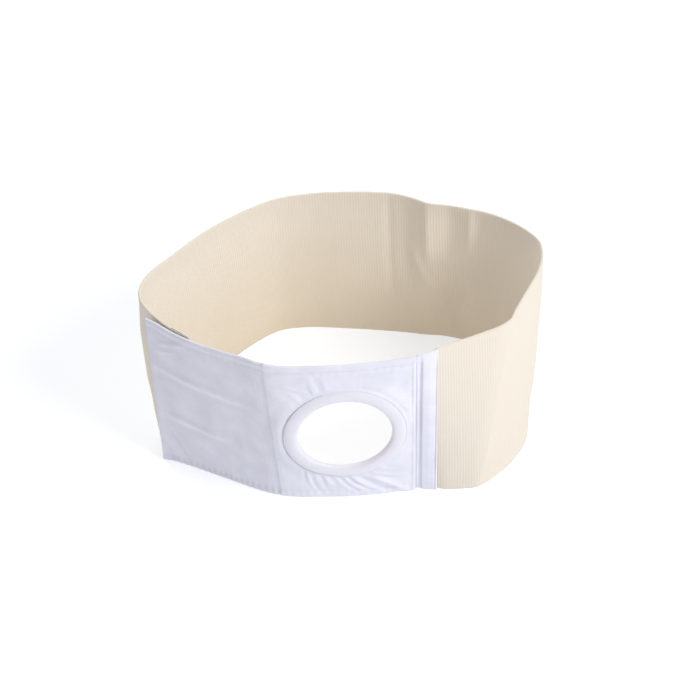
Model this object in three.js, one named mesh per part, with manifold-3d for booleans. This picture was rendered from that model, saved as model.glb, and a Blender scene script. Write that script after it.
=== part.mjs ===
// Hernia support belt, closed round an empty waist and standing on its lower edge.
// A wide elastic band goes round the back. A firm front panel holds a plastic ring for a stoma,
// and a fastening flap, sewn to the panel, closes over the band's free end.
// Millimetres, +Z up, the panel facing -Y, the origin under the middle of the belt.
import * as THREE from 'three';
import { mergeVertices } from 'three/addons/utils/BufferGeometryUtils.js';
import Module from 'manifold-3d';

const wasm = await Module();
wasm.setup();

// Driving dimensions
const BELT_WIDTH = 160;
const PANEL_LEAN = THREE.MathUtils.degToRad(6);
const WALL_HEIGHT = BELT_WIDTH * Math.cos(PANEL_LEAN);
const BAND_THICKNESS = 2;
const PANEL_THICKNESS = 2.4;
const FLAP_THICKNESS = 1.8;
const STRIP_THICKNESS = 1;
const HOOK_THICKNESS = 0.9;
const HOOK_MARGIN = 8;
const GAP = 0.3;

// The ring clips round the edge of the panel's hole, with a flange on each face
const RING_HOLE_RADIUS = 40;
const RING_OUTER_RADIUS = 51.7;
const RING_BACK_RADIUS = 49.5;
const RING_COLLAR_RADIUS = 43.2;
const RING_CROWN = 2.8;
const RING_BACK_THICKNESS = 1.2;
const RING_BACK_FLARE = 2.3;
const RING_SEGMENTS = 72;
const RING_X = -12.8;
const RING_FOOT_Y = -115.1;
const RING_HEIGHT = 79;
const RING_TURN = THREE.MathUtils.degToRad(-1.6);
const PANEL_HOLE_RADIUS = RING_COLLAR_RADIUS + GAP;
const FLAT_ROUND_RING = 53;
const FLAT_FADE = 14;

// Outer face of the band, anticlockwise from above. Each row is one section of the wall,
// by its place at the upper edge and at the lower edge. The slanted rows are a diagonal fold.
const BAND_SECTIONS = table(['name', 'topX', 'topY', 'footX', 'footY'], [
  ['end_under_panel', 37.5, -124.1, 43.5, -109.9],
  ['under_strip', 52.2, -122.9, 58.0, -111.3],
  ['strip_edge', 64.0, -118.2, 69.4, -114.1],
  ['front_right', 74.8, -113.9, 75.5, -116.1],
  ['before_fold', 107.9, -100.4, 93.5, -117.3],
  ['fold_start', 123.5, -92.7, 101.0, -117.2],
  ['fold', 132.5, -84.5, 106.5, -115.6],
  ['fold_end', 138.7, -72.7, 117.0, -109.0],
  ['right_front', 152.5, -47.9, 139.5, -88.9],
  ['right_low', 169.0, -17.7, 159.0, -59.5],
  ['right_side', 177.3, 8.3, 167.3, -19.7],
  ['right_tip', 177.9, 27.8, 171.5, 16.3],
  ['right_back', 164.9, 53.4, 164.5, 52.3],
  ['back_right', 141.5, 76.3, 144.5, 83.8],
  ['back_hollow', 107.2, 92.8, 112.0, 102.9],
  ['back_crease', 89.0, 99.1, 91.5, 108.1],
  ['back_step', 72.6, 111.0, 72.5, 113.7],
  ['back_shoulder', 53.5, 120.5, 53.5, 118.5],
  ['back_middle', 9.2, 126.9, 8.7, 127.8],
  ['back_left', -20.5, 127.1, -22.5, 132.4],
  ['left_shoulder', -51.5, 121.2, -50.5, 129.7],
  ['left_back', -75.6, 108.4, -78.5, 110.7],
  ['left_straight', -113.4, 79.5, -111.0, 78.3],
  ['left_side', -150.3, 38.4, -144.0, 36.8],
  ['left_bend', -171.5, 11.3, -164.0, 10.3],
  ['left_tip', -178.6, -14.1, -170.5, -16.7],
  ['left_return', -173.5, -35.3, -165.3, -34.2],
  ['under_flap', -157.9, -59.3, -151.9, -51.5],
  ['end_under_flap', -137.7, -81.3, -132.5, -64.6],
]);

// Outer face of the flap and the panel, from the flap's free edge to the panel's free edge
const FRONT_SECTIONS = table(['name', 'topX', 'topY', 'footX', 'footY'], [
  ['flap_edge', -173.7, -51.1, -168.7, -49.5],
  ['flap_lifted', -166.2, -58.2, -159.7, -52.9],
  ['flap_settles', -153.5, -72.1, -146.5, -60.1],
  ['flap_over_end', -136.9, -87.0, -129.5, -71.0],
  ['flap_middle', -117.0, -100.3, -108.5, -84.6],
  ['flap_straight', -97.0, -112.4, -85.4, -99.6],
  ['seam', -81.0, -123.6, -67.6, -108.4],
  ['panel_left', -66.0, -128.9, -51.3, -112.3],
  ['ring_left', -41.5, -131.5, -33.9, -114.3],
  ['ring_middle', -13.7, -132.6, -7.8, -116.2],
  ['ring_right', 17.5, -131.3, 18.5, -116.2],
  ['panel_right', 31.5, -129.6, 34.5, -115.3],
  ['panel_edge', 45.0, -128.3, 50.0, -114.5],
]);

// Ridges across the flap where the edges of the hook tapes show through, at a share of the height
const FLAP_RIDGES = table(['name', 'height', 'reach', 'proud', 'halfWidth'], [
  ['upper_tape_edge', 0.655, 0.78, 0.6, 4.5],
  ['lower_tape_edge', 0.335, 0.65, 0.6, 4.5],
]);

// Gathers of the panel's cloth round the ring, by their angle, which is 0 at the right and 90 above
const PANEL_GATHERS = table(['name', 'middle', 'spread', 'folds', 'proud'], [
  ['below_ring', -95, 42, 7, 0.8],
  ['above_left_of_ring', 128, 26, 4, 0.5],
]);
const GATHER_REACH = 14;

function table(columns, rows) {
  return rows.map((row) => Object.fromEntries(columns.map((column, i) => [column, row[i]])));
}

function smoothStep(low, high, value) {
  return THREE.MathUtils.smoothstep(value, low, high);
}

// A bump of height 1 in the middle, 0 beyond the half width
function bump(distance, halfWidth) {
  return 1 - smoothStep(0, halfWidth, Math.abs(distance));
}

// A wall's ruled face through its sections: along runs from 0 to 1, height from 0 to 1
function ruledFace(sections) {
  const curve = (x, y) => new THREE.CatmullRomCurve3(
    sections.map((row) => new THREE.Vector3(row[x], row[y], 0)), false, 'centripetal');
  const foot = curve('footX', 'footY');
  const top = curve('topX', 'topY');
  return (along, height) => {
    const point = foot.getPoint(along).lerp(top.getPoint(along), height);
    return point.setZ(height * WALL_HEIGHT);
  };
}

function placeOf(sections, name) {
  return sections.findIndex((row) => row.name === name) / (sections.length - 1);
}

// Level direction that points out of the belt at a place on a face
function outward(face, along, height) {
  const step = 0.002;
  const before = face(Math.max(along - step, 0), height);
  const after = face(Math.min(along + step, 1), height);
  return new THREE.Vector3(after.y - before.y, before.x - after.x, 0).normalize();
}

function evenly(from, to, steps) {
  return Array.from({ length: steps + 1 }, (_, i) => THREE.MathUtils.lerp(from, to, i / steps));
}

// Closed cloth wall between two places of a face, from the depth outer inwards by its thickness
function clothWall(face, places, heights, outer, thickness) {
  const layers = [outer, outer - thickness];
  const positions = layers.flatMap((depth) => places.flatMap((along) => heights.flatMap((height) => {
    const normal = outward(face, along, height);
    return face(along, height).addScaledVector(normal, depth).toArray();
  })));
  const rows = heights.length;
  const lastPlace = places.length - 1;
  const lastRow = rows - 1;
  const vertex = (layer, place, row) => (layer * places.length + place) * rows + row;
  const index = [];
  const quad = (a, b, c, d) => index.push(a, b, c, a, c, d);
  for (let i = 0; i < lastPlace; i += 1) {
    for (let j = 0; j < lastRow; j += 1) {
      quad(vertex(0, i, j), vertex(0, i + 1, j), vertex(0, i + 1, j + 1), vertex(0, i, j + 1));
      quad(vertex(1, i, j), vertex(1, i, j + 1), vertex(1, i + 1, j + 1), vertex(1, i + 1, j));
    }
    quad(vertex(1, i, 0), vertex(1, i + 1, 0), vertex(0, i + 1, 0), vertex(0, i, 0));
    quad(vertex(0, i, lastRow), vertex(0, i + 1, lastRow), vertex(1, i + 1, lastRow), vertex(1, i, lastRow));
  }
  for (let j = 0; j < lastRow; j += 1) {
    quad(vertex(1, 0, j), vertex(0, 0, j), vertex(0, 0, j + 1), vertex(1, 0, j + 1));
    quad(vertex(0, lastPlace, j), vertex(1, lastPlace, j),
      vertex(1, lastPlace, j + 1), vertex(0, lastPlace, j + 1));
  }
  const geometry = new THREE.BufferGeometry();
  geometry.setAttribute('position', new THREE.Float32BufferAttribute(positions, 3));
  geometry.setIndex(index);
  return geometry;
}

function toSolid(geometry) {
  const bare = geometry.clone();
  bare.deleteAttribute('normal');
  bare.deleteAttribute('uv');
  const merged = mergeVertices(bare, 1e-4);
  return new wasm.Manifold(new wasm.Mesh({
    numProp: 3,
    vertProperties: new Float32Array(merged.attributes.position.array),
    triVerts: new Uint32Array(merged.index.array),
  }));
}

function toGeometry(solid) {
  const mesh = solid.getMesh();
  const geometry = new THREE.BufferGeometry();
  geometry.setAttribute('position', new THREE.BufferAttribute(new Float32Array(mesh.vertProperties), 3));
  geometry.setIndex(new THREE.BufferAttribute(new Uint32Array(mesh.triVerts), 1));
  return geometry;
}

// Frame of the ring: its middle on the panel's outer face, its axis square to the leaning panel
const ringFrame = new THREE.Object3D();
ringFrame.position.set(
  RING_X,
  RING_FOOT_Y - RING_HEIGHT * Math.sin(PANEL_LEAN),
  RING_HEIGHT * Math.cos(PANEL_LEAN));
ringFrame.rotation.set(Math.PI + PANEL_LEAN, 0, RING_TURN, 'ZXY');
ringFrame.updateMatrixWorld();
const ringAxis = new THREE.Vector3(0, 1, 0).transformDirection(ringFrame.matrixWorld);

const bandFace = ruledFace(BAND_SECTIONS);
const bareFrontFace = ruledFace(FRONT_SECTIONS);

// The front's face with the cloth pressed flat against the ring, its gathers and its ridges
function frontFace(along, height) {
  const point = bareFrontFace(along, height);
  const fromRing = point.clone().sub(ringFrame.position);
  const ringY = point.y - fromRing.dot(ringAxis) / ringAxis.y;
  const inRing = ringFrame.worldToLocal(point.clone());
  const radius = Math.hypot(inRing.x, inRing.z);
  const angle = THREE.MathUtils.radToDeg(Math.atan2(-inRing.z, inRing.x));
  const flat = 1 - smoothStep(FLAT_ROUND_RING, FLAT_ROUND_RING + FLAT_FADE, radius);
  point.y = THREE.MathUtils.lerp(point.y, ringY, flat);
  point.y -= gathers(radius, angle) + ridges(along / placeOf(FRONT_SECTIONS, 'seam'), height);
  return point;
}

function gathers(radius, angle) {
  const rise = smoothStep(FLAT_ROUND_RING - 1, FLAT_ROUND_RING + 4, radius);
  const fall = 1 - smoothStep(FLAT_ROUND_RING + 6, FLAT_ROUND_RING + 6 + GATHER_REACH, radius);
  return PANEL_GATHERS.reduce((sum, row) => {
    const turn = THREE.MathUtils.euclideanModulo(angle - row.middle + 180, 360) - 180;
    const wave = Math.cos(Math.PI * row.folds * turn / row.spread);
    return sum + row.proud * wave * bump(turn, row.spread) * rise * fall;
  }, 0);
}

function ridges(reach, height) {
  return FLAP_RIDGES.reduce((sum, row) => {
    const across = bump((height - row.height) * WALL_HEIGHT, row.halfWidth);
    return sum + row.proud * across * (1 - smoothStep(row.reach - 0.1, row.reach, reach));
  }, 0);
}

function elasticBand() {
  const places = evenly(0, 1, 4 * (BAND_SECTIONS.length - 1));
  return clothWall(bandFace, places, evenly(0, 1, 4), 0, BAND_THICKNESS);
}

// The strip of firm cloth sewn over the band's end, which the panel's free edge overlaps
function facingStrip() {
  const places = evenly(0, placeOf(BAND_SECTIONS, 'strip_edge'), 8);
  return clothWall(bandFace, places, evenly(0, 1, 4), GAP + STRIP_THICKNESS, STRIP_THICKNESS);
}

function frontPanel() {
  const seam = placeOf(FRONT_SECTIONS, 'seam') + 0.001;
  const heights = [...evenly(0, 0.24, 9), ...evenly(0.3, 0.7, 4), ...evenly(0.76, 1, 5)];
  const wall = toSolid(clothWall(frontFace, evenly(seam, 1, 36), heights, 0, PANEL_THICKNESS));
  const cutter = new THREE.CylinderGeometry(
    PANEL_HOLE_RADIUS, PANEL_HOLE_RADIUS, 40, RING_SEGMENTS);
  cutter.applyMatrix4(ringFrame.matrixWorld);
  return toGeometry(wall.subtract(toSolid(cutter)));
}

const flapPlaces = evenly(0, placeOf(FRONT_SECTIONS, 'seam') - 0.001, 24);

function fasteningFlap() {
  const heights = [0, 0.1, 0.2, 0.3, 0.335, 0.37, 0.5, 0.62, 0.655, 0.69, 0.8, 0.9, 1];
  return clothWall(frontFace, flapPlaces, heights, 0, FLAP_THICKNESS);
}

// Hook tape inside the flap, which holds it to the band's end
function hookPatch() {
  const margin = HOOK_MARGIN / WALL_HEIGHT;
  const places = flapPlaces.slice(1, 17);
  const outer = -FLAP_THICKNESS - GAP;
  return clothWall(bareFrontFace, places, evenly(margin, 1 - margin, 6), outer, HOOK_THICKNESS);
}

// Section of the ring as radius and height above the panel's face
function stomaRing() {
  const back = -PANEL_THICKNESS - GAP;
  const profile = [
    [RING_HOLE_RADIUS, -1],
    [RING_HOLE_RADIUS, back - RING_BACK_THICKNESS + RING_BACK_FLARE],
    [RING_HOLE_RADIUS + RING_BACK_FLARE, back - RING_BACK_THICKNESS],
    [RING_BACK_RADIUS, back - RING_BACK_THICKNESS],
    [RING_BACK_RADIUS, back],
    [RING_COLLAR_RADIUS, back],
    [RING_COLLAR_RADIUS, GAP],
    [RING_OUTER_RADIUS, GAP],
    [RING_OUTER_RADIUS, GAP + 0.7],
    [RING_OUTER_RADIUS - 2, 0.7 * RING_CROWN],
    [RING_OUTER_RADIUS - 5, 0.95 * RING_CROWN],
    [RING_HOLE_RADIUS + 3, RING_CROWN],
    [RING_HOLE_RADIUS + 0.8, 0.8 * RING_CROWN],
    [RING_HOLE_RADIUS, 0.4 * RING_CROWN],
    [RING_HOLE_RADIUS, -1],
  ];
  const points = profile.map(([radius, height]) => new THREE.Vector2(radius, height));
  const geometry = new THREE.LatheGeometry(points, RING_SEGMENTS);
  geometry.applyMatrix4(ringFrame.matrixWorld);
  return geometry;
}

function piece(name, geometry, color, roughness) {
  const mesh = new THREE.Mesh(geometry, new THREE.MeshStandardMaterial({ color, roughness, metalness: 0 }));
  mesh.name = name;
  return mesh;
}

const belt = new THREE.Group();
belt.add(
  piece('elastic_band', elasticBand(), 0xe6dcc8, 0.9),
  piece('facing_strip', facingStrip(), 0xe9e9f4, 0.85),
  piece('front_panel', frontPanel(), 0xe7e7f2, 0.85),
  piece('fastening_flap', fasteningFlap(), 0xdcdce8, 0.85),
  piece('hook_patch', hookPatch(), 0xe4e4ea, 0.95),
  piece('stoma_ring', stomaRing(), 0xe3e4ea, 0.4),
);

export default belt;
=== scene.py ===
# Hernia support belt, closed round an empty waist and standing on its lower edge.
# The cloth pieces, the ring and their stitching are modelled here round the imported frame.
import math

import bmesh
import bpy
import numpy as np
from mathutils import Matrix, Vector


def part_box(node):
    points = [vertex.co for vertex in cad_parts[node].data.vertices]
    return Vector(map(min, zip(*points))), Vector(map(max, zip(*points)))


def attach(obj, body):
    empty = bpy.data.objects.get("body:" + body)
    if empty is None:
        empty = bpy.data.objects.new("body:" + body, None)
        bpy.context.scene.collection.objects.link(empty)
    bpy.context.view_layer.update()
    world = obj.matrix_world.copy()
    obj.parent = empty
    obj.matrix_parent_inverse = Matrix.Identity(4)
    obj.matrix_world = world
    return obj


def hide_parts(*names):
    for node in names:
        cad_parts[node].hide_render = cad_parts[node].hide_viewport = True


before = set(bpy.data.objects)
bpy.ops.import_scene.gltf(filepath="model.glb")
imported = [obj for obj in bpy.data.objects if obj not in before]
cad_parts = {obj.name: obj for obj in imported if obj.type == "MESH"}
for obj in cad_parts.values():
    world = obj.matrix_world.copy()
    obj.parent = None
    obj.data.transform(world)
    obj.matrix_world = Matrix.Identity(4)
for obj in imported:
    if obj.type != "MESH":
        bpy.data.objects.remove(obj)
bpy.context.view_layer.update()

# Lengths below are in millimetres and become metres where a mesh or a material is made
MM = 0.001

# The belt's cloth is as wide as the belt, and leans, so that its wall is a little lower
BELT_WIDTH = 160.0
WALL_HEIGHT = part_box("front_panel")[1].z / MM
PANEL_LEAN = math.acos(WALL_HEIGHT / BELT_WIDTH)

# Thicknesses of the cloths, and the gap that the pieces keep
BAND_THICKNESS = 2.0
PANEL_THICKNESS = 2.4
FLAP_THICKNESS = 1.8
STRIP_THICKNESS = 1.0
HOOK_THICKNESS = 0.9
GAP = 0.3

# The hook tape on the flap's inner face: its distance from the belt's edges, where it starts and
# ends along the flap, and the rows of tape that lie side by side
HOOK_MARGIN = 8.0
HOOK_START = 5.0
HOOK_END = 72.0
HOOK_ROWS = 3

# The elastic's ribs, drawn coarse enough to show, and its firm edges
RIB_SPACING = 2.5
RIB_DEPTH = 0.06
SELVEDGE_DEPTH = 0.12

# Hems, and the row of stitches near the strip's right edge
HEM_DEPTH = 7.0
STRIP_HEM_DEPTH = 3.0
STRIP_SEAM = 24.1
STITCH_PITCH = 3.1

# Pitch of the bands that stand for the white cloth's crossing threads, too fine to show
WEAVE_PITCH = 5.655

# The camera stands as the photograph's did: its focal length is 1680 of the photo's 700 pixels
CAMERA_AIM = Vector((3.5, -11.7, 80.0)) * MM
CAMERA_AZIMUTH = math.radians(-6.2)
CAMERA_ELEVATION = math.radians(38.0)
CAMERA_DISTANCE = 1.5
SENSOR_WIDTH = 36.0
FOCAL_SHARE = 1680 / 700

# The ring, with a flange on each face of the panel and a collar through its hole
RING_HOLE_RADIUS = 40.0
RING_OUTER_RADIUS = 51.7
RING_BACK_RADIUS = 49.5
RING_COLLAR_RADIUS = 43.2
RING_CROWN = 2.8
RING_BACK_THICKNESS = 1.2
RING_BACK_FLARE = 2.3
PANEL_HOLE_RADIUS = RING_COLLAR_RADIUS + GAP

# The middle of the ring, RING_HEIGHT up the leaning panel
RING_X = -12.8
PANEL_FOOT_Y = -115.1
RING_HEIGHT = 79.0
RING_TURN = math.radians(-1.6)
RING_CENTRE = np.array([RING_X, PANEL_FOOT_Y - RING_HEIGHT * math.sin(PANEL_LEAN),
                        RING_HEIGHT * math.cos(PANEL_LEAN)])

# The panel is flat out to this distance from the ring's axis, and over the next stretch takes up
# the curve of its sections
FLAT_ROUND_RING = 53.0
FLAT_FADE = 14.0

# Sections of the band's outer face, anticlockwise from above, as in the part
# name, x and y at the upper edge, x and y at the lower edge
BAND_SECTIONS = [
    ("end_under_panel", 37.5, -124.1, 43.5, -109.9),
    ("under_strip", 52.2, -122.9, 58.0, -111.3),
    ("strip_edge", 64.0, -118.2, 69.4, -114.1),
    ("front_right", 74.8, -113.9, 75.5, -116.1),
    ("before_fold", 107.9, -100.4, 93.5, -117.3),
    ("fold_start", 123.5, -92.7, 101.0, -117.2),
    ("fold", 132.5, -84.5, 106.5, -115.6),
    ("fold_end", 138.7, -72.7, 117.0, -109.0),
    ("right_front", 152.5, -47.9, 139.5, -88.9),
    ("right_low", 169.0, -17.7, 159.0, -59.5),
    ("right_side", 177.3, 8.3, 167.3, -19.7),
    ("right_tip", 177.9, 27.8, 171.5, 16.3),
    ("right_back", 164.9, 53.4, 164.5, 52.3),
    ("back_right", 141.5, 76.3, 144.5, 83.8),
    ("back_hollow", 107.2, 92.8, 112.0, 102.9),
    ("back_crease", 89.0, 99.1, 91.5, 108.1),
    ("back_step", 72.6, 111.0, 72.5, 113.7),
    ("back_shoulder", 53.5, 120.5, 53.5, 118.5),
    ("back_middle", 9.2, 126.9, 8.7, 127.8),
    ("back_left", -20.5, 127.1, -22.5, 132.4),
    ("left_shoulder", -51.5, 121.2, -50.5, 129.7),
    ("left_back", -75.6, 108.4, -78.5, 110.7),
    ("left_straight", -113.4, 79.5, -111.0, 78.3),
    ("left_side", -150.3, 38.4, -144.0, 36.8),
    ("left_bend", -171.5, 11.3, -164.0, 10.3),
    ("left_tip", -178.6, -14.1, -170.5, -16.7),
    ("left_return", -173.5, -35.3, -165.3, -34.2),
    ("under_flap", -157.9, -59.3, -151.9, -51.5),
    ("end_under_flap", -137.7, -81.3, -132.5, -64.6),
]

# Sections of the outer face of the flap and the panel, from the flap's free edge to the panel's
FRONT_SECTIONS = [
    ("flap_edge", -173.7, -51.1, -168.7, -49.5),
    ("flap_lifted", -166.2, -58.2, -159.7, -52.9),
    ("flap_settles", -153.5, -72.1, -146.5, -60.1),
    ("flap_over_end", -136.9, -87.0, -129.5, -71.0),
    ("flap_middle", -117.0, -100.3, -108.5, -84.6),
    ("flap_straight", -97.0, -112.4, -85.4, -99.6),
    ("seam", -81.0, -123.6, -67.6, -108.4),
    ("panel_left", -66.0, -128.9, -51.3, -112.3),
    ("ring_left", -41.5, -131.5, -33.9, -114.3),
    ("ring_middle", -13.7, -132.6, -7.8, -116.2),
    ("ring_right", 17.5, -131.3, 18.5, -116.2),
    ("panel_right", 31.5, -129.6, 34.5, -115.3),
    ("panel_edge", 45.0, -128.3, 50.0, -114.5),
]

# Creases and folds of each cloth: where each starts and ends along the cloth and above its
# lower edge, how wide it is to each side, and how far it stands out, or lies in if negative
# name, start along, start height, end along, end height, half width, proud
BAND_CREASES = [
    ("back_ridge", 344, 158, 345, 92, 4.5, -1.8),
    ("back_valley", 321, 158, 324, 98, 10.0, 2.7),
    ("second_ridge", 304, 158, 305, 108, 4.0, -1.3),
    ("second_valley", 294, 155, 296, 104, 6.0, 0.9),
    ("shaded_hollow", 367, 158, 368, 62, 10.0, 1.6),
    ("step_diagonal", 362, 104, 342, 56, 4.0, -1.5),
    ("low_ridge_left", 388, 40, 352, 46, 2.8, -1.3),
    ("low_hollow_left", 386, 32, 350, 38, 3.0, 0.8),
    ("low_ridge_middle", 356, 25, 316, 33, 2.8, -1.3),
    ("low_ridge_right", 348, 47, 312, 56, 2.8, -1.2),
    ("corner_hollow", 318, 6, 317, 78, 12.0, 2.0),
    ("shoulder_edge", 383, 158, 382, 40, 5.0, 1.3),
    ("left_soft_fold", 585, 150, 590, 20, 16.0, 0.9),
    ("left_bulge", 691, 150, 691, 8, 26.0, 1.9),
    ("left_bulge_high", 691, 146, 691, 55, 22.0, 1.5),
    ("top_under_flap", 738, 190, 738, 154, 24.0, 1.5),
    ("foot_by_strip", 30, 24, 36, 70, 12.0, -0.9),
    ("right_bulge", 199, 152, 163, 38, 20.0, 2.0),
    ("fold_corner", 103, 160, 64, 5, 3.5, 0.8),
]
FLAP_CREASES = [
    ("upper_tape_edge", 2, 111.5, 104, 104.5, 3.8, 1.05),
    ("upper_tape_shadow", 2, 104, 104, 97, 4.5, -0.6),
    ("lower_tape_edge", 4, 58.5, 76, 53.5, 3.8, 1.05),
    ("lower_tape_shadow", 4, 51, 76, 46, 4.5, -0.6),
    ("tape_end", 92, 148, 92, 12, 5.0, -0.3),
    ("soft_upright", 60, 98, 55, 28, 8.0, 1.0),
    ("soft_upright_top", 62, 158, 61, 116, 7.0, 0.6),
    ("soft_upright_right", 86, 62, 84, 8, 6.0, 0.8),
    ("soft_upright_low", 70, 40, 72, 2, 4.0, 0.6),
    ("corner_wrinkle_a", 10, 138, 42, 151, 2.4, 0.9),
    ("corner_wrinkle_b", 8, 129, 30, 137, 2.2, 0.7),
    ("low_corner_fold", 3, 38, 21, 5, 3.2, 1.9),
    ("low_corner_hollow", 10, 40, 28, 7, 3.5, -1.3),
    ("edge_binding", 3, -10, 3, 170, 2.4, 0.4),
    ("foot_roll", -10, 1.8, 130, 1.8, 1.0, 0.7),
    ("foot_line", -10, 4.2, 130, 4.2, 1.0, -0.6),
    ("seam_dip", 117.3, -10, 117.3, 170, 4.5, -1.2),
]
PANEL_CREASES = [
    ("seam_dip", 0, -10, 0, 170, 0.8, -0.2),
    ("seam_welt", 5.5, -10, 5.5, 170, 2.2, 0.15),
    ("top_hem_line", -40, 151, 150, 151, 2.0, -0.55),
    ("top_hem_roll", -40, 156, 150, 156, 2.5, 0.3),
    ("long_diagonal", 77.6, 30, 116.6, 1, 2.6, 1.8),
    ("long_diagonal_hollow", 71.6, 24, 109.6, -3, 3.2, -1.1),
    ("second_diagonal", 65.6, 24, 91.6, 4, 2.2, 1.0),
    ("upper_left_pull_a", 12.6, 138, 33.6, 131, 1.8, 0.5),
    ("upper_left_pull_b", 15.6, 131, 37.6, 127, 1.6, -0.4),
    ("upper_left_tick_a", 36.6, 137, 40.6, 125, 1.3, 0.5),
    ("upper_left_tick_b", 41.6, 140, 44.6, 129, 1.3, -0.41),
    ("upper_left_tick_c", 47.6, 142, 49.6, 132, 1.4, 0.36),
    ("right_pull_a", 106.6, 103, 120.6, 86, 1.8, 0.63),
    ("right_pull_b", 107.6, 111, 120.6, 104, 1.8, 0.49),
    ("right_pull_c", 106.6, 84, 119.6, 72, 1.6, -0.42),
    ("hem_lift_right", 101.6, 148, 119.6, 154, 3.0, 0.7),
    ("free_edge_groove", 119.2, -10, 119.2, 170, 0.8, -0.3),
    ("free_edge_roll", 121, -10, 121, 170, 1.4, 0.3),
]
STRIP_CREASES = [
    ("beside_panel", 8.6, -10, 8.6, 170, 0.9, 0.3),
    ("edge_of_roll", 11, -10, 11, 170, 0.9, -0.45),
    ("roll_crown", 18.2, -10, 18.2, 170, 3.6, 0.45),
    ("edge_groove", STRIP_SEAM, -10, STRIP_SEAM, 170, 0.6, -1.1),
]

# Gathers of the cloth round the ring, by angle: 0 is to the right and 90 above
# name, middle, spread to each side, number of folds, lean in degrees for each mm outwards, proud
PANEL_GATHERS = [
    ("below_ring", -92, 52, 12, 0.75, 0.85),
    ("above_left_of_ring", 124, 28, 6, 0.0, 0.35),
    ("right_of_ring", 24, 22, 5, 0.0, 0.35),
]
GATHER_REACH = 19.0

# The cloth at the ring's edge swells into a welt at the upper right and is pressed into a groove
# at the lower left: the angle of the middle, how many quarter turns it goes on to each side, the
# distance past the ring, the half width and the height or depth
WELT_ANGLE = 50
WELT_SPREAD = 1.25
WELT_PAST_RING = 0.4
WELT_HALF_WIDTH = 1.7
WELT_HEIGHT = 1.1
GROOVE_ANGLE = -150
GROOVE_SPREAD = 1.1
GROOVE_PAST_RING = 0.6
GROOVE_HALF_WIDTH = 0.9
GROOVE_DEPTH = 0.9

# The strip's raised roll: where along the strip it rises and falls, and how far it stands out
ROLL_RISES = (11.4, 13.0)
ROLL_FALLS = (25.2, 26.2)
ROLL_HEIGHT = 1.35

# Area lights: where each stands, in metres, and its power
KEY_LIGHT = ((1.6, -1.3, 1.7), 41.5)
TOP_LIGHT = ((-0.5, 0.9, 1.9), 14)
LIGHT_SIZE = 1.2
LIGHT_AIM = (0, 0, 0.08)
WORLD_STRENGTH = 0.42


# Soft steps, curves and the ring's own directions

def smooth_step(low, high, value):
    """0 up to low, 1 from high on, and smooth between them."""
    t = np.clip((value - low) / (high - low), 0.0, 1.0)
    return t * t * (3 - 2 * t)


def bell(distance, half_width):
    """1 in the middle, falling off smoothly to both sides."""
    return np.exp(-((distance / half_width) ** 2))


def catmull_rom(points, steps=24):
    """The centripetal curve through the points, with its given number of steps to each span."""
    points = np.asarray(points, float)
    ends = np.vstack([2 * points[0] - points[1], points, 2 * points[-1] - points[-2]])
    curve = []
    for p0, p1, p2, p3 in zip(ends, ends[1:], ends[2:], ends[3:]):
        d01, d12, d23 = (np.linalg.norm(b - a) ** 0.5 for a, b in ((p0, p1), (p1, p2), (p2, p3)))
        leave = ((p1 - p0) / d01 - (p2 - p0) / (d01 + d12) + (p2 - p1) / d12) * d12
        arrive = ((p2 - p1) / d12 - (p3 - p1) / (d12 + d23) + (p3 - p2) / d23) * d12
        t = np.arange(steps)[:, None] / steps
        curve.append(p1 + leave * t + (3 * (p2 - p1) - 2 * leave - arrive) * t ** 2
                     + (2 * (p1 - p2) + leave + arrive) * t ** 3)
    return np.vstack(curve + [points[-1:]])


def ring_axes():
    """The ring's own directions: to the right, up the panel, and out of its front."""
    turn = np.array(Matrix.Rotation(RING_TURN, 3, "Z"))
    right = turn @ np.array([1.0, 0.0, 0.0])
    out = turn @ np.array([0.0, -math.cos(PANEL_LEAN), -math.sin(PANEL_LEAN)])
    return right, np.cross(out, right), out


def in_ring(points):
    """Each point's distance from the ring's axis and its angle round it, in degrees."""
    right, up, _ = ring_axes()
    from_centre = points - RING_CENTRE
    x, y = from_centre @ right, from_centre @ up
    return np.hypot(x, y), np.degrees(np.arctan2(y, x))


def pressed_on_ring(points):
    """The cloth's face, drawn flat where the ring's flanges hold it."""
    _, _, out = ring_axes()
    radius, _ = in_ring(points)
    flat = 1 - smooth_step(FLAT_ROUND_RING, FLAT_ROUND_RING + FLAT_FADE, radius)
    pressed = points.copy()
    pressed[..., 1] -= flat * ((points - RING_CENTRE) @ out) / out[1]
    return pressed


# The walls, and what shapes their cloth

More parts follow.
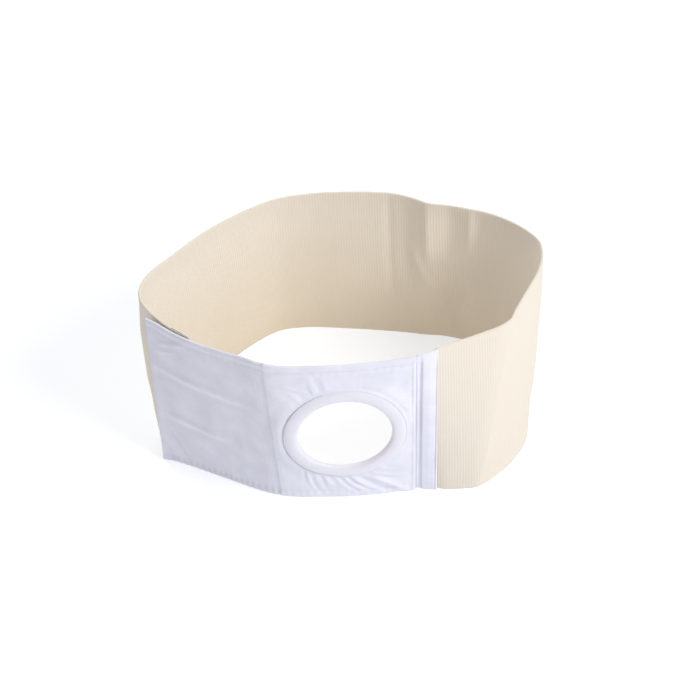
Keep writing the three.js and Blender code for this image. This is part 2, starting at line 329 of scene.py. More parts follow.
class Wall:
    """A stretch of a wall's outer face, laid out flat by length along the cloth and height."""

    ROWS = 61
    COLUMNS = 1201

    def __init__(self, sections, first, last, shape=lambda points: points):
        names = [row[0] for row in sections]
        top = catmull_rom([row[1:3] for row in sections])
        foot = catmull_rom([row[3:5] for row in sections])
        steps = (len(top) - 1) // (len(sections) - 1)
        part = slice(names.index(first) * steps, names.index(last) * steps + 1)
        heights = np.linspace(0.0, 1.0, self.ROWS)
        shares = np.linspace(0.0, 1.0, self.COLUMNS)
        grid = np.empty((self.COLUMNS, self.ROWS, 3))
        for j, height in enumerate(heights):
            line = foot[part] * (1 - height) + top[part] * height
            run = np.concatenate([[0.0], np.cumsum(np.linalg.norm(np.diff(line, axis=0), axis=1))])
            if j == self.ROWS // 2:
                self.length = float(run[-1])
            for axis in (0, 1):
                grid[:, j, axis] = np.interp(shares * run[-1], run, line[:, axis])
            grid[:, j, 2] = height * WALL_HEIGHT
        self.points = shape(grid)
        along = np.gradient(self.points, axis=0)
        self.normals = np.stack([along[..., 1], -along[..., 0], np.zeros(along.shape[:2])], axis=-1)
        self.normals /= np.linalg.norm(self.normals, axis=-1, keepdims=True)

    def _between(self, values, along, height):
        x = along / self.length * (self.COLUMNS - 1)
        y = height / BELT_WIDTH * (self.ROWS - 1)
        i = np.clip(x.astype(int), 0, self.COLUMNS - 2)
        j = np.clip(y.astype(int), 0, self.ROWS - 2)
        fx, fy = (x - i)[..., None], (y - j)[..., None]
        low = values[i, j] * (1 - fx) + values[i + 1, j] * fx
        high = values[i, j + 1] * (1 - fx) + values[i + 1, j + 1] * fx
        return low * (1 - fy) + high * fy

    def at(self, along, height, out):
        """Points at lengths along and up the cloth, moved out of the belt by out; past an end they
        run straight on."""
        along, height, out = np.broadcast_arrays(along, height, out)
        normal = self._between(self.normals, along, height)
        return self._between(self.points, along, height) + normal * out[..., None]


band_wall = Wall(BAND_SECTIONS, "end_under_panel", "end_under_flap")
strip_wall = Wall(BAND_SECTIONS, "end_under_panel", "strip_edge")
flap_wall = Wall(FRONT_SECTIONS, "flap_edge", "seam", pressed_on_ring)
panel_wall = Wall(FRONT_SECTIONS, "seam", "panel_edge", pressed_on_ring)


def creases(table, along, height):
    """How far the creases of a table move the cloth outwards."""
    total = np.zeros(np.broadcast(along, height).shape)
    for _, start_along, start_height, end_along, end_height, half_width, proud in table:
        run = np.array([end_along - start_along, end_height - start_height], float)
        length = np.linalg.norm(run)
        x, y = along - start_along, height - start_height
        share = (x * run[0] + y * run[1]) / length ** 2
        across = (x * run[1] - y * run[0]) / length
        ends = smooth_step(-0.12, 0.25, share) * (1 - smooth_step(0.75, 1.12, share))
        total += proud * bell(across, half_width) * ends
    return total


def gathers(points):
    """How far the gathers round the ring move the cloth outwards."""
    radius, angle = in_ring(points)
    start = smooth_step(FLAT_ROUND_RING - 0.5, FLAT_ROUND_RING + 5, radius)
    total = np.zeros(radius.shape)
    for _, middle, spread, folds, lean, proud in PANEL_GATHERS:
        turn = (angle - lean * (radius - FLAT_ROUND_RING) - middle + 180) % 360 - 180
        uneven = 0.7 + 0.3 * np.sin(0.31 * turn + 0.4 * middle)
        wave = np.cos(math.pi * folds * turn / spread + 0.6 * np.sin(0.17 * turn))
        reach = FLAT_ROUND_RING + GATHER_REACH * (0.8 + 0.4 * np.sin(0.23 * turn + middle))
        fade = 1 - smooth_step(reach - 6, reach + 6, radius)
        inside = 1 - smooth_step(0.55 * spread, spread, np.abs(turn))
        total += proud * uneven * wave * inside * fade * start
    return total


def hem(height, from_edge=HEM_DEPTH):
    """Thickness that a turned hem adds along the upper and lower edge, with its stitched line."""
    edge = np.minimum(height, BELT_WIDTH - height)
    turned = 0.45 * (1 - smooth_step(from_edge - 0.8, from_edge + 0.8, edge))
    return turned - 0.65 * bell(edge - from_edge, 1.2)


def hem_pucker(along, height, pitch, proud, from_edge=HEM_DEPTH):
    """Small ripples that the hem's stitches pull into the cloth."""
    wave = np.sin(2 * math.pi * along / pitch + 1.3 * np.sin(along / 11.0))
    lower = bell(height - 0.7 * from_edge, 0.8 * from_edge)
    upper = bell(BELT_WIDTH - height - 1.2 * from_edge, 0.6 * from_edge)
    return proud * wave * (lower + 0.4 * upper)


# Meshes

def section_loop(thickness, rows, rim=5):
    """A wall's section, up its outer face and down its inner one, as heights, places across it
    and lengths round it."""
    half = thickness / 2
    face = np.linspace(half, BELT_WIDTH - half, rows + 1)
    turn = np.linspace(0, math.pi, rim + 2)[1:-1]
    heights = [face, BELT_WIDTH - half + half * np.sin(turn), face[::-1], half - half * np.sin(turn)]
    across = [np.ones(rows + 1), np.cos(turn), -np.ones(rows + 1), -np.cos(turn)]
    round_top = BELT_WIDTH + half * (turn - math.pi / 2)
    full = 2 * BELT_WIDTH
    lengths = [face, round_top, full - face[::-1], full + half * (turn - math.pi / 2), [full + half]]
    return np.concatenate(heights), np.concatenate(across), np.concatenate(lengths)


def rounded_steps(length, step, half):
    """Places along a cloth, closer together where its two ends are rounded."""
    ends = half * (1 - np.cos(np.linspace(0, math.pi / 2, 5)))
    middle = np.linspace(half, length - half, max(2, round((length - 2 * half) / step)) + 1)
    return np.concatenate([ends[:-1], middle, length - ends[:-1][::-1]])


def rounded_edge(from_edge, reach):
    """The share of its full thickness that a cloth has at a distance from its rounded edge."""
    return np.sqrt(np.clip(1 - (1 - np.clip(from_edge / reach, 0, 1)) ** 2, 0, 1))


def grid_mesh(name, points, layout):
    """A mesh from a grid of points in millimetres, whose last row meets its first. The layout gives
    its UVs, with one row more."""
    columns, rows = points.shape[:2]
    mesh = bpy.data.meshes.new(name)
    bm = bmesh.new()
    bmesh.ops.create_grid(bm, x_segments=columns - 1, y_segments=rows, size=0.5)
    uv = bm.loops.layers.uv.new("cloth")
    places = {}
    for vertex in bm.verts:
        i = round((vertex.co.x + 0.5) * (columns - 1))
        j = round((vertex.co.y + 0.5) * rows)
        places[vertex] = (i, j)
    for face in bm.faces:
        for loop in face.loops:
            loop[uv].uv = Vector(layout[places[loop.vert]]) * MM
    for vertex, (i, j) in places.items():
        vertex.co = Vector(points[i, j % rows]) * MM
    bmesh.ops.remove_doubles(bm, verts=bm.verts, dist=1e-6)
    bmesh.ops.dissolve_degenerate(bm, edges=bm.edges, dist=1e-7)
    bmesh.ops.recalc_face_normals(bm, faces=bm.faces)
    for face in bm.faces:
        face.smooth = True
    bm.to_mesh(mesh)
    bm.free()
    return mesh


def add_piece(name, mesh, material, node=None):
    """A finished piece: it rides on the root body and stands for a node of the frame."""
    mesh.materials.append(material)
    piece = bpy.data.objects.new(name, mesh)
    bpy.context.scene.collection.objects.link(piece)
    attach(piece, "root")
    if node:
        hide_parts(node)
    return piece


def cloth_mesh(name, wall, thickness, step, rows, move, swell, outer=0.0, lowered=lambda along: 0.0,
               tucked=0.0):
    """A closed cloth wall: move shifts both its faces, swell thickens it, lowered takes its upper
    edge down, and tucked makes it longer, into the next piece."""
    half = thickness / 2
    along = rounded_steps(wall.length + tucked, step, half)[:, None]
    height, across, lengths = section_loop(thickness, rows)
    height, across = height[None, :], across[None, :]
    from_end = np.minimum(along, wall.length + tucked - along)
    depth = across * rounded_edge(from_end, half) * (half + swell(along, height))
    place = height - lowered(along) * smooth_step(130, BELT_WIDTH, height)
    points = wall.at(along, place, outer - half + depth + move(along, height))
    layout = np.stack(np.broadcast_arrays(along, lengths[None, :]), axis=-1)
    return grid_mesh(name, points, layout)


# Materials

def linear(hex_colour):
    """An sRGB hex colour as linear RGBA."""
    values = [int(hex_colour[i:i + 2], 16) / 255 for i in (1, 3, 5)]
    return [v / 12.92 if v <= 0.04045 else ((v + 0.055) / 1.055) ** 2.4 for v in values] + [1.0]


def add_node(tree, kind, inputs=None, **settings):
    """Adds a node, sets it, and sets or links its inputs by name or number."""
    node = tree.nodes.new(kind)
    for name, value in settings.items():
        setattr(node, name, value)
    for key, value in (inputs or {}).items():
        if isinstance(value, bpy.types.NodeSocket):
            tree.links.new(value, node.inputs[key])
        else:
            node.inputs[key].default_value = value
    return node


def new_material(name):
    """An empty material with its node tree."""
    material = bpy.data.materials.new(name)
    material.use_nodes = True
    material.node_tree.nodes.clear()
    return material, material.node_tree


def finish_material(tree, inputs):
    """Ends the tree in a shader with these inputs."""
    shader = add_node(tree, "ShaderNodeBsdfPrincipled", inputs)
    add_node(tree, "ShaderNodeOutputMaterial", {"Surface": shader.outputs["BSDF"]})


def pattern_scale(size):
    """The scale of a pattern whose features are so many millimetres wide."""
    return 1 / (size * MM)


def knitted_elastic():
    """Polyester and elastane warp knit: upright ribs, with painted shade between them, and a soft matte
    nap.
    """
    material, tree = new_material("knitted_elastic")
    cloth = add_node(tree, "ShaderNodeUVMap", uv_map="cloth").outputs["UV"]
    split = add_node(tree, "ShaderNodeSeparateXYZ", {0: cloth})
    phase = add_node(tree, "ShaderNodeMath", {
        0: split.outputs["X"], 1: 2 * math.pi / (RIB_SPACING * MM)}, operation="MULTIPLY")
    rib = add_node(tree, "ShaderNodeMath", {0: phase.outputs[0]}, operation="COSINE")
    # The colour is darker between the ribs: painted shade in their hollows
    on_rib = add_node(tree, "ShaderNodeMapRange", {"Value": rib.outputs[0], "From Min": -1.0})
    outer = add_node(tree, "ShaderNodeMix", {
        "Factor": on_rib.outputs[0], "A": linear("#DED5C8"), "B": linear("#E3DBD0")}, data_type="RGBA")
    inner = add_node(tree, "ShaderNodeMix", {
        "Factor": on_rib.outputs[0], "A": linear("#E7DDCE"), "B": linear("#EDE5D8")}, data_type="RGBA")
    # The inner face is the upper half of the layout; towards its foot it is drawn darker and warmer, a
    # painted shade
    towards_foot = add_node(tree, "ShaderNodeMapRange", {
        "Value": split.outputs["Y"], "From Min": 1.15 * BELT_WIDTH * MM,
        "From Max": 2 * BELT_WIDTH * MM})
    inner_painted_shade = add_node(tree, "ShaderNodeMix", {
        "Factor": towards_foot.outputs[0], "A": inner.outputs["Result"], "B": linear("#D3C5AF")},
        data_type="RGBA")
    is_inner = add_node(tree, "ShaderNodeMath", {0: split.outputs["Y"], 1: BELT_WIDTH * MM},
                        operation="GREATER_THAN")
    base = add_node(tree, "ShaderNodeMix", {
        "Factor": is_inner.outputs[0], "A": outer.outputs["Result"], "B": inner_painted_shade.outputs["Result"]},
        data_type="RGBA")
    cloudy = add_node(tree, "ShaderNodeTexNoise", {
        "Vector": cloth, "Scale": pattern_scale(45.45), "Detail": 3.0})
    cloud = add_node(tree, "ShaderNodeMapRange", {"Value": cloudy.outputs[0], "To Max": 0.22})
    colour = add_node(tree, "ShaderNodeMix", {
        "Factor": cloud.outputs[0], "A": base.outputs["Result"], "B": linear("#E5D8C4")},
        data_type="RGBA")
    stitch_place = add_node(tree, "ShaderNodeMapping", {
        "Vector": cloth, "Scale": (pattern_scale(1.25), pattern_scale(0.909), 1.0)})
    stitch = add_node(tree, "ShaderNodeTexVoronoi", {
        "Vector": stitch_place.outputs[0], "Scale": 1.0, "Randomness": 0.35})
    knit_bump = add_node(tree, "ShaderNodeBump", {
        "Height": stitch.outputs["Distance"], "Strength": 0.25, "Distance": 0.3 * MM})
    rib_bump = add_node(tree, "ShaderNodeBump", {
        "Height": rib.outputs[0], "Strength": 0.2, "Distance": 0.15 * MM,
        "Normal": knit_bump.outputs[0]})
    finish_material(tree, {
        "Base Color": colour.outputs["Result"], "Roughness": 0.88, "Sheen Weight": 0.08,
        "Sheen Roughness": 0.5, "Specular IOR Level": 0.25, "Normal": rib_bump.outputs[0]})
    return material


def woven_cloth(name, light, shade):
    """Tightly woven polyester: soft bands where its threads cross, faintly rumpled and mottled."""
    material, tree = new_material(name)
    cloth = add_node(tree, "ShaderNodeUVMap", uv_map="cloth").outputs["UV"]
    # The wave texture goes through 20 radians for each unit of its scale
    scale = 2 * math.pi / 20 * pattern_scale(WEAVE_PITCH)
    warp, weft = (add_node(tree, "ShaderNodeTexWave", {
        "Vector": cloth, "Scale": scale, "Distortion": 0.6, "Detail Scale": 40.0},
        bands_direction=direction) for direction in ("X", "Y"))
    weave = add_node(tree, "ShaderNodeMath", {0: warp.outputs["Fac"], 1: weft.outputs["Fac"]},
                     operation="MULTIPLY")
    rumple = add_node(tree, "ShaderNodeTexNoise", {
        "Vector": cloth, "Scale": pattern_scale(22.22), "Detail": 4.0, "Roughness": 0.55})
    tone = add_node(tree, "ShaderNodeMapRange", {
        "Value": rumple.outputs[0], "From Min": 0.3, "From Max": 0.7})
    colour = add_node(tree, "ShaderNodeMix", {
        "Factor": tone.outputs[0], "A": linear(shade), "B": linear(light)}, data_type="RGBA")
    rumple_bump = add_node(tree, "ShaderNodeBump", {
        "Height": rumple.outputs[0], "Strength": 0.3, "Distance": 1.2 * MM})
    weave_bump = add_node(tree, "ShaderNodeBump", {
        "Height": weave.outputs[0], "Strength": 0.25, "Distance": 0.2 * MM,
        "Normal": rumple_bump.outputs[0]})
    finish_material(tree, {
        "Base Color": colour.outputs["Result"], "Roughness": 0.8, "Sheen Weight": 0.15,
        "Specular IOR Level": 0.3, "Normal": weave_bump.outputs[0]})
    return material


def hook_tape_cloth():
    """Nylon hook tape: close rows of small hooks that catch the light as dots."""
    material, tree = new_material("nylon_hook_tape")
    cloth = add_node(tree, "ShaderNodeUVMap", uv_map="cloth").outputs["UV"]
    hooks = add_node(tree, "ShaderNodeTexVoronoi", {
        "Vector": cloth, "Scale": pattern_scale(1.5385), "Randomness": 0.25})
    colour = add_node(tree, "ShaderNodeMix", {
        "Factor": hooks.outputs["Distance"], "A": linear("#F2F2F4"), "B": linear("#C9C9D0")},
        data_type="RGBA")
    hook_bump = add_node(tree, "ShaderNodeBump", {
        "Height": hooks.outputs["Distance"], "Strength": 0.8, "Distance": 0.6 * MM}, invert=True)
    finish_material(tree, {
        "Base Color": colour.outputs["Result"], "Roughness": 0.6, "Normal": hook_bump.outputs[0]})
    return material


def soft_ring_plastic():
    """Moulded soft PVC: satin and slightly cloudy, with a faint grain from the mould."""
    material, tree = new_material("soft_moulded_pvc")
    place = add_node(tree, "ShaderNodeTexCoord").outputs["Object"]
    cloudy = add_node(tree, "ShaderNodeTexNoise", {"Vector": place, "Scale": pattern_scale(16.67)})
    grain = add_node(tree, "ShaderNodeTexNoise", {"Vector": place, "Scale": pattern_scale(0.7143)})
    colour = add_node(tree, "ShaderNodeMix", {
        "Factor": cloudy.outputs[0], "A": linear("#DEDCE7"), "B": linear("#E8E6F0")},
        data_type="RGBA")
    grain_bump = add_node(tree, "ShaderNodeBump", {
        "Height": grain.outputs[0], "Strength": 0.08, "Distance": 0.2 * MM})
    finish_material(tree, {
        "Base Color": colour.outputs["Result"], "Roughness": 0.42, "IOR": 1.53,
        "Subsurface Weight": 0.08, "Subsurface Scale": 3 * MM, "Normal": grain_bump.outputs[0]})
    return material


def sewing_thread(name, colour):
    """Spun polyester thread: matte, with a slight twist that breaks its highlight."""
    material, tree = new_material(name)
    place = add_node(tree, "ShaderNodeTexCoord").outputs["Object"]
    twist = add_node(tree, "ShaderNodeTexNoise", {"Vector": place, "Scale": pattern_scale(0.3846)})
    lit = add_node(tree, "ShaderNodeMix", {
        "Factor": twist.outputs[0], "A": linear(colour), "B": linear("#FFFFFF")}, data_type="RGBA")
    soft = add_node(tree, "ShaderNodeMix", {
        "Factor": 0.12, "A": linear(colour), "B": lit.outputs["Result"]}, data_type="RGBA")
    twist_bump = add_node(tree, "ShaderNodeBump", {
        "Height": twist.outputs[0], "Strength": 0.4, "Distance": 0.1 * MM})
    finish_material(tree, {
        "Base Color": soft.outputs["Result"], "Roughness": 0.75, "Normal": twist_bump.outputs[0]})
    return material


elastic = knitted_elastic()
white_cloth = woven_cloth("woven_white_polyester", "#E8E8F3", "#DDDDE9")
# The flap's cloth is the panel's white cloth drawn darker: painted shade for the flap's side turned away
# from the key light
flap_cloth_painted_shade = woven_cloth("white_polyester_painted_shade", "#E2E2ED", "#D7D7E3")
hook_cloth = hook_tape_cloth()
ring_plastic = soft_ring_plastic()
white_thread = sewing_thread("white_thread", "#E6E6F0")
brown_thread = sewing_thread("brown_thread", "#A5745A")


# The elastic band and the strip sewn over its right end

def band_relief(along, height):
    return creases(BAND_CREASES, along, height)


def under_panel_corner(along):
    """The corners that the panel hides are cut a little lower."""
    return 3.5 * (1 - smooth_step(5.0, 10.0, along))


def under_strip_edge(along):
    """The strip stands a little higher than the elastic that it is sewn over."""
    return under_panel_corner(along) + 2.6 * (1 - smooth_step(23.0, 28.0, along))


def band_swell(along, height):
    """Thickness that the ribs and the firm edges add to the elastic."""
    edge = np.minimum(height, BELT_WIDTH - height)
    selvedge = SELVEDGE_DEPTH * (1 - smooth_step(2.2, 3.0, edge))
    return RIB_DEPTH * np.cos(2 * math.pi * along / RIB_SPACING) * smooth_step(1.5, 4.0, edge) + selvedge


def make_band():
    mesh = cloth_mesh("elastic_band_cloth", band_wall, BAND_THICKNESS, RIB_SPACING / 4, 28,
                      band_relief, band_swell, lowered=under_strip_edge)
    piece = add_piece("elastic_band_cloth", mesh, elastic, "elastic_band")


def strip_relief(along, height):
    """Creases and roll of the strip, sewn nearly flat at its upper edge."""
    roll = smooth_step(*ROLL_RISES, along) * (1 - smooth_step(*ROLL_FALLS, along))
    flattened = 1 - 0.9 * smooth_step(BELT_WIDTH - 12, BELT_WIDTH - 2, height)
    return (creases(STRIP_CREASES, along, height) + ROLL_HEIGHT * roll) * flattened


def make_strip():
    mesh = cloth_mesh("facing_strip_cloth", strip_wall, STRIP_THICKNESS, 0.35, 60, strip_relief,
                      lambda along, height: 0.3 * hem(height, STRIP_HEM_DEPTH),
                      GAP + STRIP_THICKNESS, under_panel_corner)
    piece = add_piece("facing_strip_cloth", mesh, white_cloth, "facing_strip")


# The front panel, laid out in rings of cloth from its round hole to its straight edges

def panel_edge_points(per_side):
    """Points round the panel's flat outline, anticlockwise from its lower right corner."""
    right, top = panel_wall.length, BELT_WIDTH
    corners = [(right, 0), (right, top), (0, top), (0, 0)]
    sides = zip(corners, corners[1:] + corners[:1])
    share = np.arange(per_side)[:, None] / per_side
    return np.vstack([np.array(a) * (1 - share) + np.array(b) * share for a, b in sides])


def hole_middle():
    """Where the hole's middle lies on the flat cloth."""
    radius, _ = in_ring(panel_wall.points)
    i, j = np.unravel_index(np.argmin(radius), radius.shape)
    return np.array([i / (Wall.COLUMNS - 1) * panel_wall.length, j / (Wall.ROWS - 1) * BELT_WIDTH])


def at_angle(angle, middle, spread):
    """1 at an angle round the ring, falling to 0 within so many quarter turns to each side."""
    turn = (angle - middle + 180) % 360 - 180
    return np.clip(np.cos(np.radians(turn / spread)), 0, 1)


def panel_relief(along, height, base):
    """Creases, gathers and hem of the panel, and its cloth beside and under the ring's edge."""
    radius, angle = in_ring(base)
    past_ring = radius - RING_OUTER_RADIUS
    outside = smooth_step(FLAT_ROUND_RING - 1, FLAT_ROUND_RING + 5, radius)
    swell = at_angle(angle, WELT_ANGLE, WELT_SPREAD)
    welt = (WELT_HEIGHT * swell * bell(past_ring - WELT_PAST_RING, WELT_HALF_WIDTH)
            * smooth_step(-0.6, -0.1, past_ring))
    under_ring = (GAP - 0.04) * swell * (1 - smooth_step(FLAT_ROUND_RING, FLAT_ROUND_RING + 3, radius))
    pressed = at_angle(angle, GROOVE_ANGLE, GROOVE_SPREAD)
    groove = -GROOVE_DEPTH * pressed * bell(past_ring - GROOVE_PAST_RING, GROOVE_HALF_WIDTH)
    return (creases(PANEL_CREASES, along, height) * outside + gathers(base)
            + hem_pucker(along, height, pitch=6.5, proud=0.2) + welt + under_ring + groove)


def panel_layout():
    """The flat cloth in rings of points from its hole to its outline, and the distance of each
    point from the two."""
    half = PANEL_THICKNESS / 2
    middle = hole_middle()
    outline = panel_edge_points(72)
    reach = outline - middle
    distance = np.linalg.norm(reach, axis=1, keepdims=True)
    # The rings of points are closer together at both rounded edges and at the plastic ring's edge
    bend = half * (1 - np.cos(np.linspace(0, math.pi / 2, 5)))[:-1]
    at_ring = RING_OUTER_RADIUS + np.concatenate([
        [-5.0, -3.0, -1.0], np.linspace(-0.7, 1.4, 8), [2.0, 2.8]])
    radii = [*(PANEL_HOLE_RADIUS + bend), PANEL_HOLE_RADIUS + half, *at_ring]
    start, end = at_ring[-1], distance - half
    rings = [reach / distance * radius for radius in radii]
    rings += [reach / distance * (start + (end - start) * t) for t in np.linspace(0.0, 1.0, 47)[1:]]
    rings += [reach / distance * (distance - b) for b in bend[::-1]]
    flat = middle + np.stack(rings)
    from_hole = np.linalg.norm(flat - middle, axis=-1) - PANEL_HOLE_RADIUS
    from_edge = np.linalg.norm(outline - flat, axis=-1)
    return flat, from_hole, from_edge


def make_panel():
    half = PANEL_THICKNESS / 2
    flat, from_hole, from_edge = panel_layout()
    along, height = flat[..., 0], flat[..., 1]
    move = panel_relief(along, height, panel_wall.at(along, height, 0.0))
    rounded = rounded_edge(np.minimum(from_hole, from_edge), half)
    thick = half + hem(height) * smooth_step(0, 3, from_hole)
    faces = [panel_wall.at(along, height, move - half + side * rounded * thick) for side in (1, -1)]
    points = np.concatenate([faces[0], faces[1][::-1]])
    layout = np.concatenate([flat, flat[::-1]])
    layout = np.concatenate([layout, layout[:, :1]], axis=1)
    mesh = grid_mesh("front_panel_cloth", points, layout)
    piece = add_piece("front_panel_cloth", mesh, white_cloth, "front_panel")


# The fastening flap and its hook tape

def flap_relief(along, height):
    return creases(FLAP_CREASES, along, height) + hem_pucker(along, height, pitch=5.8, proud=0.35)


def make_flap():
    mesh = cloth_mesh("fastening_flap_cloth", flap_wall, FLAP_THICKNESS, 1.1, 90, flap_relief,
                      lambda along, height: hem(height), tucked=FLAP_THICKNESS / 2)
    piece = add_piece("fastening_flap_cloth", mesh, flap_cloth_painted_shade, "fastening_flap")


def make_hook_tape():
    """Rows of tape, side by side, on the flap's inner face."""
    height = np.linspace(HOOK_MARGIN, BELT_WIDTH - HOOK_MARGIN, 91)[None, :]
    along = np.linspace(HOOK_START, HOOK_END, 61)[:, None]
    row = (BELT_WIDTH - 2 * HOOK_MARGIN) / HOOK_ROWS
    groove = bell((height - HOOK_MARGIN + row / 2) % row - row / 2, 0.8)
    edge = np.minimum(np.minimum(along - HOOK_START, HOOK_END - along), np.minimum(
        height - HOOK_MARGIN, BELT_WIDTH - HOOK_MARGIN - height))
    half = HOOK_THICKNESS / 2 * rounded_edge(edge, 0.8)
    middle = -FLAP_THICKNESS - GAP - HOOK_THICKNESS / 2
    outer = flap_wall.at(along, height, middle + half)
    inner = flap_wall.at(along, height, middle - half * (1 - 0.5 * groove))
    points = np.concatenate([outer, inner[:, ::-1]], axis=1)
    lengths = np.concatenate([height, 2 * BELT_WIDTH - height[:, ::-1], 2 * BELT_WIDTH - height[:, :1]],
                             axis=1)
    layout = np.stack(np.broadcast_arrays(along, lengths), axis=-1)
    mesh = grid_mesh("hook_tape_patch", points, layout)
    piece = add_piece("hook_tape_patch", mesh, hook_cloth, "hook_patch")


# The plastic ring

def make_ring():
    back = -PANEL_THICKNESS - GAP
    profile = [
        (RING_HOLE_RADIUS, -1.0),
        (RING_HOLE_RADIUS, back - RING_BACK_THICKNESS + RING_BACK_FLARE),
        (RING_HOLE_RADIUS + RING_BACK_FLARE, back - RING_BACK_THICKNESS),
        (RING_BACK_RADIUS, back - RING_BACK_THICKNESS),
        (RING_BACK_RADIUS, back),
        (RING_COLLAR_RADIUS, back),
        (RING_COLLAR_RADIUS, GAP),
        (RING_OUTER_RADIUS, GAP),
        (RING_OUTER_RADIUS, GAP + 0.7),
        (RING_OUTER_RADIUS - 2.0, 0.7 * RING_CROWN),
        (RING_OUTER_RADIUS - 5.0, 0.95 * RING_CROWN),
        (RING_HOLE_RADIUS + 3.0, RING_CROWN),
        (RING_HOLE_RADIUS + 0.8, 0.8 * RING_CROWN),
        (RING_HOLE_RADIUS, 0.4 * RING_CROWN),
    ]
    right, up, out = ring_axes()
    place = Matrix.LocRotScale(Vector(RING_CENTRE) * MM, Matrix((right, up, out)).transposed(), None)
    mesh = bpy.data.meshes.new("stoma_ring_plastic")
    bm = bmesh.new()
    corners = [bm.verts.new((radius * MM, 0, height * MM)) for radius, height in profile]
    edges = [bm.edges.new(pair) for pair in zip(corners, corners[1:] + corners[:1])]
    bmesh.ops.spin(bm, geom=corners + edges, axis=(0, 0, 1), cent=(0, 0, 0), angle=2 * math.pi,
                   steps=160, use_merge=True)
    bmesh.ops.remove_doubles(bm, verts=bm.verts, dist=1e-7)
    bmesh.ops.recalc_face_normals(bm, faces=bm.faces)
    sharp = [edge for edge in bm.edges if edge.calc_face_angle(0.0) > math.radians(50)]
    bmesh.ops.bevel(bm, geom=sharp, offset=0.25 * MM, segments=3, profile=0.5, affect="EDGES",
                    material=-1, clamp_overlap=True)
    bmesh.ops.transform(bm, matrix=place, verts=bm.verts)
    for face in bm.faces:
        face.smooth = True
    bm.to_mesh(mesh)
    bm.free()
    add_piece("stoma_ring_plastic", mesh, ring_plastic, "stoma_ring")


# Stitching

def make_stitches(name, surface, rows, material, pitch=STITCH_PITCH, long=2.3, thick=0.45):
    """Short threads that lie on a surface, in rows: where each row starts and ends along the cloth
    and above its lower edge."""
    mesh = bpy.data.meshes.new(name)
    bm = bmesh.new()
    for start_along, start_height, end_along, end_height in rows:
        run = math.hypot(end_along - start_along, end_height - start_height)
        count = int(run / pitch)
        reach = np.array([-0.5, 0.5]) * long / run
        shares = (np.arange(count)[:, None] + 0.5) / count + reach
        along = start_along + (end_along - start_along) * shares
        height = start_height + (end_height - start_height) * shares
        for a, b in surface(along, height):
            start, end = Vector(a) * MM, Vector(b) * MM
            turn = (end - start).to_track_quat("X", "Z")
            size = Vector(((end - start).length / 2, thick * MM / 2, thick * MM / 2))
            bmesh.ops.create_uvsphere(bm, u_segments=8, v_segments=6, radius=1.0,
                                      matrix=Matrix.LocRotScale((start + end) / 2, turn, size))
    for face in bm.faces:
        face.smooth = True
    bm.to_mesh(mesh)
    bm.free()
    add_piece(name, mesh, material)


def flap_face(along, height):
    return flap_wall.at(along, height, flap_relief(along, height) + hem(height) - 0.02)


def panel_face(along, height):
    base = panel_wall.at(along, height, 0.0)
    return panel_wall.at(along, height, panel_relief(along, height, base) + hem(height) - 0.02)


def strip_face(along, height):
    return strip_wall.at(along, height, GAP + STRIP_THICKNESS + strip_relief(along, height))


def band_inner_face(along, height):
    return band_wall.at(along, height, band_relief(along, height) - BAND_THICKNESS - 0.1)


def band_rim(along, height):
    return band_wall.at(along, height, band_relief(along, height) - BAND_THICKNESS / 2)


def make_stitching():
    foot, top = HEM_DEPTH, BELT_WIDTH - HEM_DEPTH
    low, high = 2, BELT_WIDTH - 2
    end = flap_wall.length
    make_stitches("flap_stitching", flap_face, [
        (5, foot, end - 2, foot), (5, top, end - 2, top), (5.5, foot, 5.5, top),
        (end - 8.5, low, end - 8.5, high), (end - 3.0, low, end - 3.0, high)], white_thread)
    end = panel_wall.length
    make_stitches("panel_stitching", panel_face, [
        (2, foot, end - 4, foot), (2, top, end - 4, top),
        (end - 3.6, low, end - 3.6, high)], white_thread)
    make_stitches("strip_stitching", strip_face, [(STRIP_SEAM, low, STRIP_SEAM, high)], white_thread,
                  pitch=3.0, long=1.8, thick=0.2)


def make_band_end():
    """The band's left end: overlocked in zigzag on its inner face, and bound along its top."""
    end = band_wall.length
    near, far = end - 2.0, end - 4.4
    zigzag = [(near, z, far, z - 2) if n % 2 == 0 else (far, z, near, z - 2)
              for n, z in enumerate(range(159, 3, -2))]
    make_stitches("band_end_stitching", band_inner_face, zigzag, brown_thread,
                  pitch=3.0, long=2.8, thick=0.5)
    make_stitches("band_end_binding", band_rim, [(end - 20, BELT_WIDTH, end - 8, BELT_WIDTH)],
                  brown_thread, pitch=1.6, long=1.3, thick=0.9)
    make_stitches("band_end_overlock", band_rim, [(end - 8, BELT_WIDTH, end, BELT_WIDTH)],
                  white_thread, pitch=1.4, long=1.5, thick=1.6)


# Floor, light and camera

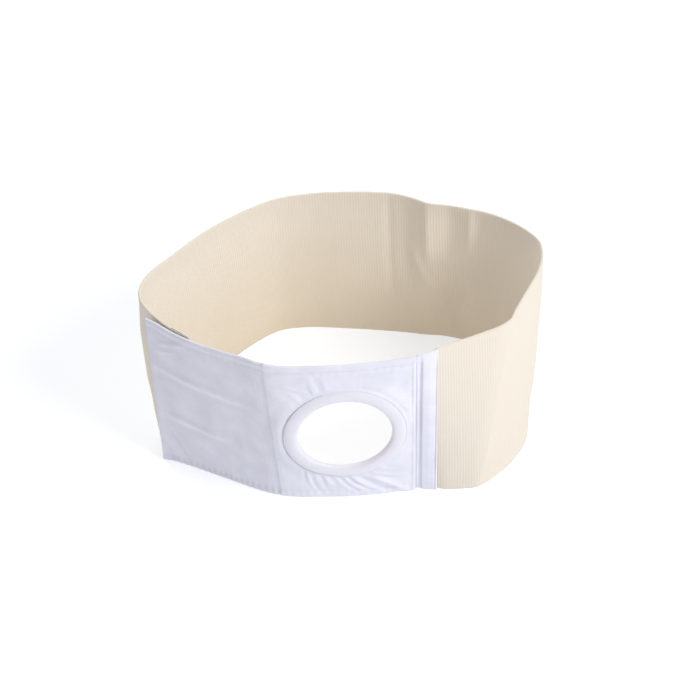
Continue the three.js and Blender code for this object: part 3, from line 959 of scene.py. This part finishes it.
def make_floor():
    mesh = bpy.data.meshes.new("floor")
    bm = bmesh.new()
    bmesh.ops.create_grid(bm, x_segments=2, y_segments=2, size=6.0)
    bm.to_mesh(mesh)
    bm.free()
    floor = bpy.data.objects.new("floor", mesh)
    bpy.context.scene.collection.objects.link(floor)
    material, tree = new_material("matt_white_floor")
    place = add_node(tree, "ShaderNodeTexCoord").outputs["Object"]
    mottle = add_node(tree, "ShaderNodeTexNoise", {"Vector": place, "Scale": pattern_scale(333.3)})
    colour = add_node(tree, "ShaderNodeMix", {
        "Factor": mottle.outputs[0], "A": linear("#CDCDCD"), "B": linear("#CACACA")},
        data_type="RGBA")
    # Its own faint glow keeps it as white as a studio's floor
    finish_material(tree, {
        "Base Color": colour.outputs["Result"], "Roughness": 0.9,
        "Specular IOR Level": 0.1, "Emission Color": linear("#F6FAFF"), "Emission Strength": 0.56})
    mesh.materials.append(material)


def add_area_light(name, place, power):
    light = bpy.data.lights.new(name, "AREA")
    light.shape = "DISK"
    light.size = LIGHT_SIZE
    light.energy = power
    lamp = bpy.data.objects.new(name, light)
    lamp.location = place
    lamp.rotation_euler = (Vector(LIGHT_AIM) - Vector(place)).to_track_quat("-Z", "Y").to_euler()
    bpy.context.scene.collection.objects.link(lamp)


def make_light():
    world = bpy.data.worlds.new("soft_studio")
    world.use_nodes = True
    background = world.node_tree.nodes["Background"]
    background.inputs["Color"].default_value = (1.0, 1.0, 1.0, 1.0)
    background.inputs["Strength"].default_value = WORLD_STRENGTH
    bpy.context.scene.world = world
    add_area_light("key", *KEY_LIGHT)
    add_area_light("top", *TOP_LIGHT)
    # The plain transform keeps the light background of a studio photograph white
    bpy.context.scene.view_settings.view_transform = "Standard"


def make_camera():
    back = Vector((math.sin(CAMERA_AZIMUTH) * math.cos(CAMERA_ELEVATION),
                   -math.cos(CAMERA_AZIMUTH) * math.cos(CAMERA_ELEVATION),
                   math.sin(CAMERA_ELEVATION)))
    data = bpy.data.cameras.new("camera")
    data.sensor_width = SENSOR_WIDTH
    data.lens = SENSOR_WIDTH * FOCAL_SHARE
    camera = bpy.data.objects.new("camera", data)
    camera.location = CAMERA_AIM + back * CAMERA_DISTANCE
    camera.rotation_euler = (-back).to_track_quat("-Z", "Y").to_euler()
    bpy.context.scene.collection.objects.link(camera)
    bpy.context.scene.camera = camera


make_band()
make_strip()
make_panel()
make_flap()
make_hook_tape()
make_ring()
make_stitching()
make_band_end()
make_floor()
make_light()
make_camera()
